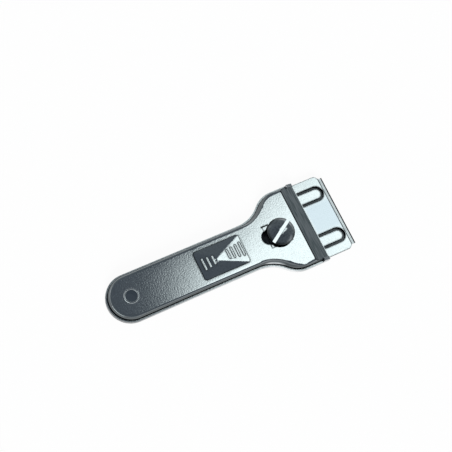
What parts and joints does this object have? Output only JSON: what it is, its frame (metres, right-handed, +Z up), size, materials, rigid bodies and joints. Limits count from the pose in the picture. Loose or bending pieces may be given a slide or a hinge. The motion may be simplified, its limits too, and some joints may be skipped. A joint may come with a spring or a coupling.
{
  "type": "razor blade scraper",
  "caption": "Plated sheet-steel scraper: a flat handle with a thumb rest and hang hole flares to a wide head, where a coin-slot screw clamps a sliding single-edge blade.",
  "frame": {"origin": "middle of the tool's footprint, on the underside of the lower shell", "axes": "+X from the tail to the cutting edge, +Z up through the roof"},
  "size_m": [0.1296, 0.0436, 0.0113],
  "materials": {
    "plated_shell": "bright plated",
    "plated_tray": "dark plated",
    "eyelet": "bright plated",
    "inner_steel": "rolled",
    "bush": "turned",
    "screw": "bright plated",
    "blade": "dark body, ground edge",
    "blade_back": "dark rolled"
  },
  "bodies": {
    "handle": {"top_shell": "plated_shell", "bottom_tray": "plated_tray", "tail_eyelet": "eyelet", "tail_spacer": "inner_steel"},
    "carriage": {"blade_carrier": "inner_steel", "threaded_bush": "bush", "razor_blade": "blade", "blade_spine": "blade_back"},
    "screw": {"clamp_screw": "screw"}
  },
  "joints": [
    {"name": "blade_slide", "type": "slide", "parent": "handle", "child": "carriage", "axis": [1, 0, 0], "range_m": [-0.0063, 0]},
    {"name": "screw_turn", "type": "hinge", "parent": "carriage", "child": "screw", "pos_m": [0.02928, 0, 0.007], "axis": [0, 0, 1], "range_deg": [0, 360]}
  ]
}
